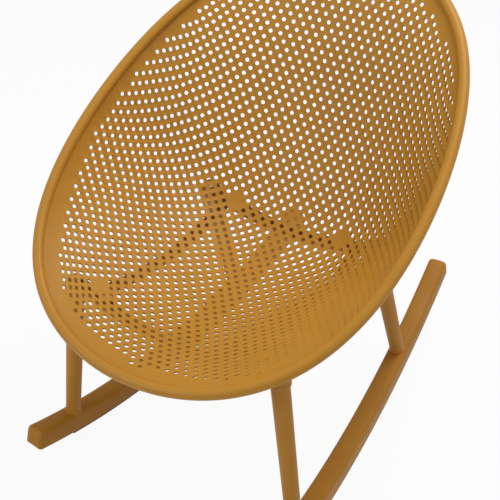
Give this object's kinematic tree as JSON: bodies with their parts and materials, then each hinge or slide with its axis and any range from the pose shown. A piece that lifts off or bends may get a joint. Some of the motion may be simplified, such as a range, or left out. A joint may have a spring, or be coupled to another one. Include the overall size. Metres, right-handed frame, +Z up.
{
  "type": "moulded plastic rocking chair",
  "caption": "Rocking chair with a round perforated bucket seat moulded in one piece, on four slim legs with curved rockers.",
  "frame": {"origin": "centre of the bounding box's bottom face: on the floor, midway between the rockers", "axes": "+Z up from the floor, +Y towards the back of the chair, +X to the right of a viewer in front of it; left and right in the names are that viewer's"},
  "size_m": [0.718, 0.9109, 0.8831],
  "materials": {
    "shell_plastic": "satin ochre",
    "frame_plastic": "satin ochre",
    "rocker_plastic": "satin ochre",
    "tread_rubber": "matt black",
    "zinc_steel": "zinc plated"
  },
  "bodies": {
    "root": {"seat_shell": "shell_plastic", "front_crossbar": "frame_plastic", "rear_crossbar": "frame_plastic", "left_side_rail": "frame_plastic", "right_side_rail": "frame_plastic", "left_rocker": "rocker_plastic", "right_rocker": "rocker_plastic", "left_main_tread": "tread_rubber", "right_main_tread": "tread_rubber", "left_tail_tread": "tread_rubber", "right_tail_tread": "tread_rubber", "seat_screws": "zinc_steel", "seat_washers": "zinc_steel", "seat_nuts": "zinc_steel", "hub_screws": "zinc_steel", "foot_bolts": "zinc_steel", "foot_washers": "zinc_steel", "rail_dowels": "zinc_steel", "front_left_leg": "frame_plastic", "front_right_leg": "frame_plastic", "rear_left_leg": "frame_plastic", "rear_right_leg": "frame_plastic"}
  },
  "joints": []
}
